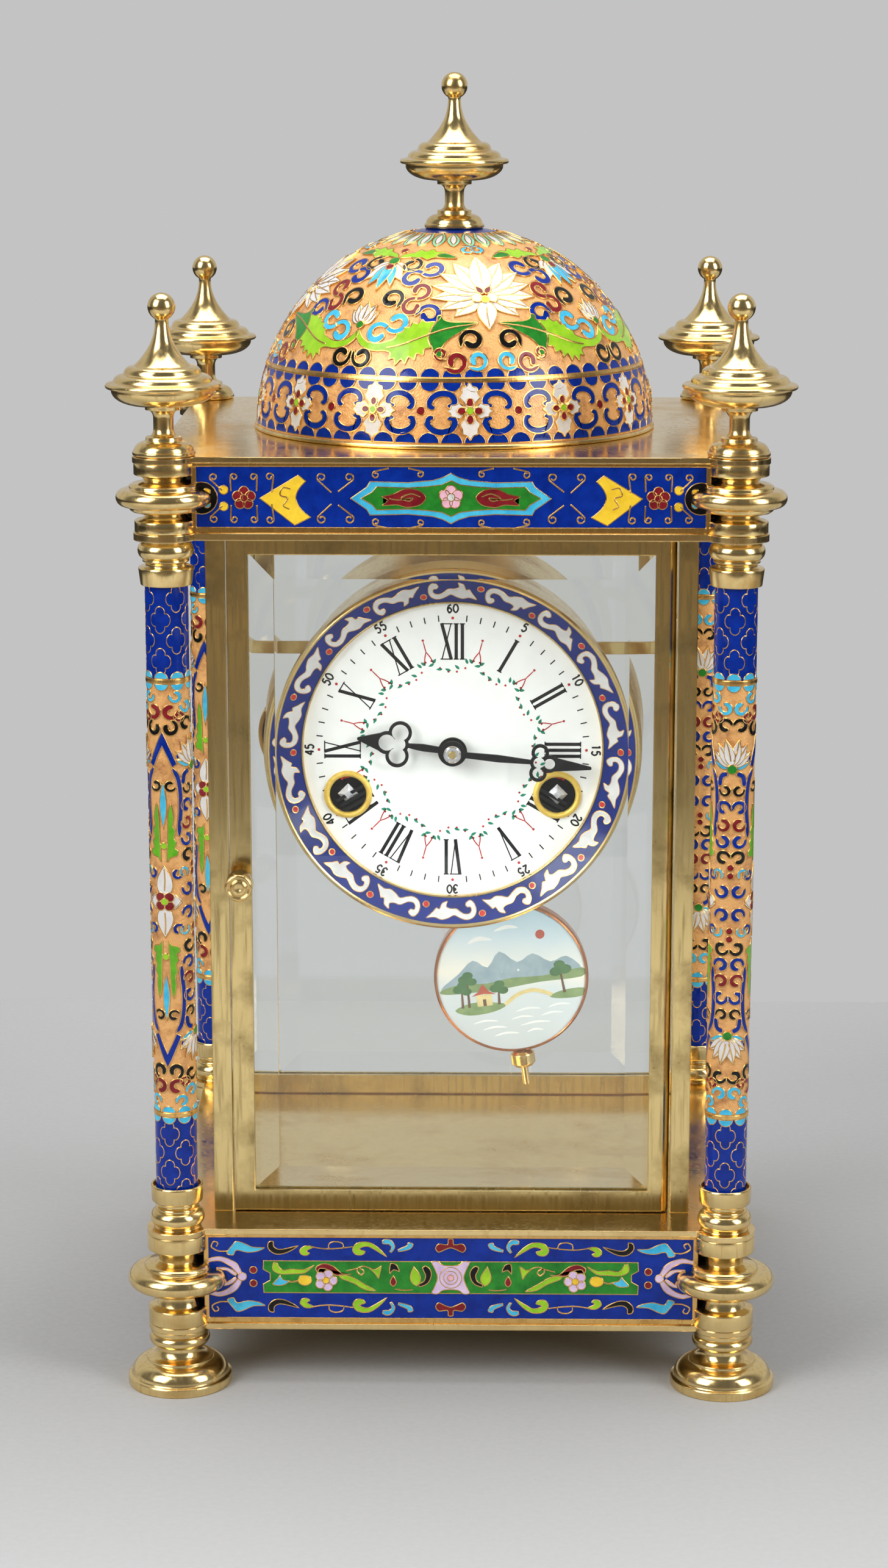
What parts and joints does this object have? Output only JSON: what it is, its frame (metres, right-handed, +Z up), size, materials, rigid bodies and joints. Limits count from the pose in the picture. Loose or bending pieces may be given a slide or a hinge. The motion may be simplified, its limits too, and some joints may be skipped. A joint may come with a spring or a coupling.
{
  "type": "crystal regulator clock",
  "caption": "Mantel clock with glass case on turned brass feet, cloisonne columns, friezes and dome, white dial with striking movement, hinged doors and a swinging pendulum",
  "frame": {"origin": "on the table under the middle of the case", "axes": "X to the right of the dial, Y to the rear, Z up; the dial faces -Y"},
  "size_m": [0.2238, 0.2054, 0.4401],
  "materials": {
    "gilt_brass": "polished yellow brass with slight tarnish",
    "cloisonne": "glossy cobalt enamel in brass wire cells",
    "glass": "clear bevelled plate glass",
    "movement_brass": "brushed brass",
    "steel": "polished steel",
    "black_lacquer": "black",
    "white_enamel": "glossy white vitreous enamel",
    "bell_metal": "polished bell metal"
  },
  "bodies": {
    "case": {"feet": "gilt_brass", "base_bottom_plate": "gilt_brass", "base_spools": "gilt_brass", "base_panels": "cloisonne", "base_top_plate": "gilt_brass", "column_cups": "gilt_brass", "column_tubes": "cloisonne", "column_capitals": "gilt_brass", "lintel_plate": "gilt_brass", "frieze_spools": "gilt_brass", "frieze_panels": "cloisonne", "top_plate": "gilt_brass", "finials": "gilt_brass", "tie_rods": "steel", "dome": "cloisonne", "case_posts": "gilt_brass", "side_rails": "gilt_brass", "side_glasses": "glass", "drum": "movement_brass", "bezel": "gilt_brass", "bezel_enamel": "cloisonne", "dial": "white_enamel", "winding_eyelets": "gilt_brass", "movement_straps": "movement_brass", "front_plate": "movement_brass", "back_plate": "movement_brass", "pillars": "movement_brass", "suspension_cock": "movement_brass", "bell": "bell_metal"},
    "front_door": {"front_door_frame": "gilt_brass", "front_door_glass": "glass", "front_door_pins": "steel"},
    "front_latch": {"front_knob": "gilt_brass"},
    "rear_door": {"rear_door_frame": "gilt_brass", "rear_door_glass": "glass", "rear_door_pins": "steel"},
    "rear_latch": {"rear_knob": "gilt_brass"},
    "minute_set": {"centre_wheel": "movement_brass", "cannon_pinion": "movement_brass", "minute_hand": "black_lacquer", "hand_nut": "steel"},
    "hour_set": {"hour_wheel": "movement_brass", "hour_hand": "black_lacquer"},
    "motion_set": {"minute_wheel": "movement_brass"},
    "time_barrel_set": {"time_barrel": "movement_brass"},
    "intermediate_set": {"intermediate_wheel": "movement_brass"},
    "third_set": {"third_wheel": "movement_brass"},
    "escape_set": {"escape_wheel": "movement_brass"},
    "time_winding_set": {"time_arbor": "steel"},
    "strike_winding_set": {"strike_arbor": "steel"},
    "time_click_set": {"time_click": "steel"},
    "strike_click_set": {"strike_click": "steel"},
    "strike_barrel_set": {"strike_barrel": "movement_brass"},
    "hammer_wheel_set": {"hammer_wheel": "movement_brass"},
    "fly_set": {"fly": "movement_brass"},
    "hammer_set": {"hammer": "steel"},
    "pendulum": {"pendulum_rod": "gilt_brass", "pendulum_bob": "white_enamel"},
    "pallet_set": {"pallets": "steel"},
    "rating_set": {"rating_nut": "gilt_brass"}
  },
  "joints": [
    {"name": "front_door_hinge", "type": "hinge", "parent": "case", "child": "front_door", "pos_m": [0.0715, -0.06625, 0.1741], "axis": [0, 0, 1], "range_deg": [0, 92]},
    {"name": "rear_door_hinge", "type": "hinge", "parent": "case", "child": "rear_door", "pos_m": [0.0715, 0.06625, 0.1741], "axis": [0, 0, -1], "range_deg": [0, 92]},
    {"name": "front_latch_turn", "type": "hinge", "parent": "front_door", "child": "front_latch", "pos_m": [-0.07115, -0.06625, 0.1741], "axis": [0, 1, 0], "range_deg": [0, 90]},
    {"name": "rear_latch_turn", "type": "hinge", "parent": "rear_door", "child": "rear_latch", "pos_m": [-0.07115, 0.06625, 0.1741], "axis": [0, 1, 0], "range_deg": [0, 90]},
    {"name": "minute_turn", "type": "hinge", "parent": "case", "child": "minute_set", "pos_m": [0, -0.012, 0.213], "axis": [0, 1, 0], "continuous": true},
    {"name": "hour_turn", "type": "hinge", "parent": "case", "child": "hour_set", "pos_m": [0, -0.04, 0.213], "axis": [0, 1, 0], "continuous": true},
    {"name": "minute_wheel_turn", "type": "hinge", "parent": "case", "child": "motion_set", "pos_m": [0, -0.032, 0.201], "axis": [0, 1, 0], "continuous": true},
    {"name": "time_barrel_turn", "type": "hinge", "parent": "case", "child": "time_barrel_set", "pos_m": [0.036, -0.012, 0.19729], "axis": [0, 1, 0], "continuous": true},
    {"name": "intermediate_turn", "type": "hinge", "parent": "case", "child": "intermediate_set", "pos_m": [0.01809, -0.012, 0.20642], "axis": [0, 1, 0], "continuous": true},
    {"name": "third_turn", "type": "hinge", "parent": "case", "child": "third_set", "pos_m": [0.00881, -0.012, 0.22916], "axis": [0, 1, 0], "continuous": true},
    {"name": "escape_turn", "type": "hinge", "parent": "case", "child": "escape_set", "pos_m": [0, -0.012, 0.24252], "axis": [0, 1, 0], "continuous": true},
    {"name": "time_winding", "type": "hinge", "parent": "case", "child": "time_winding_set", "pos_m": [0.036, -0.03, 0.19729], "axis": [0, 1, 0], "continuous": true},
    {"name": "strike_winding", "type": "hinge", "parent": "case", "child": "strike_winding_set", "pos_m": [-0.036, -0.03, 0.19729], "axis": [0, 1, 0], "continuous": true},
    {"name": "time_click_lift", "type": "hinge", "parent": "case", "child": "time_click_set", "pos_m": [0.03357, -0.032, 0.21108], "axis": [0, -1, 0], "range_deg": [0, 12]},
    {"name": "strike_click_lift", "type": "hinge", "parent": "case", "child": "strike_click_set", "pos_m": [-0.03357, -0.032, 0.21108], "axis": [0, 1, 0], "range_deg": [0, 12]},
    {"name": "strike_barrel_turn", "type": "hinge", "parent": "case", "child": "strike_barrel_set", "pos_m": [-0.036, -0.012, 0.19729], "axis": [0, 1, 0], "continuous": true},
    {"name": "hammer_wheel_turn", "type": "hinge", "parent": "case", "child": "hammer_wheel_set", "pos_m": [-0.02656, -0.012, 0.21504], "axis": [0, 1, 0], "continuous": true},
    {"name": "fly_turn", "type": "hinge", "parent": "case", "child": "fly_set", "pos_m": [-0.01846, -0.012, 0.22907], "axis": [0, 1, 0], "continuous": true},
    {"name": "hammer_swing", "type": "hinge", "parent": "case", "child": "hammer_set", "pos_m": [-0.04396, 0.006, 0.23899], "axis": [0, -1, 0], "range_deg": [0, 12]},
    {"name": "pendulum_swing", "type": "hinge", "parent": "case", "child": "pendulum", "pos_m": [0, 0.017, 0.26052], "axis": [0, 1, 0], "range_deg": [0, 16.4]},
    {"name": "pallet_rock", "type": "hinge", "parent": "case", "child": "pallet_set", "pos_m": [0, 0.006, 0.26052], "axis": [0, 1, 0], "range_deg": [0, 16.4]},
    {"name": "rating_turn", "type": "hinge", "parent": "pendulum", "child": "rating_set", "pos_m": [0.02525, 0.017, 0.08528], "axis": [-0.1426, 0, 0.9898], "continuous": true}
  ],
  "couplings": [
    {"joint": "intermediate_turn", "follows": "minute_turn", "ratio": -0.18462},
    {"joint": "time_barrel_turn", "follows": "minute_turn", "ratio": 0.04028},
    {"joint": "third_turn", "follows": "minute_turn", "ratio": -10.5},
    {"joint": "escape_turn", "follows": "minute_turn", "ratio": 94.5},
    {"joint": "minute_wheel_turn", "follows": "minute_turn", "ratio": -0.33333},
    {"joint": "hour_turn", "follows": "minute_turn", "ratio": 0.083333},
    {"joint": "hammer_wheel_turn", "follows": "strike_barrel_turn", "ratio": -4.5833},
    {"joint": "fly_turn", "follows": "strike_barrel_turn", "ratio": 36.667},
    {"joint": "pallet_rock", "follows": "pendulum_swing", "ratio": 1}
  ]
}
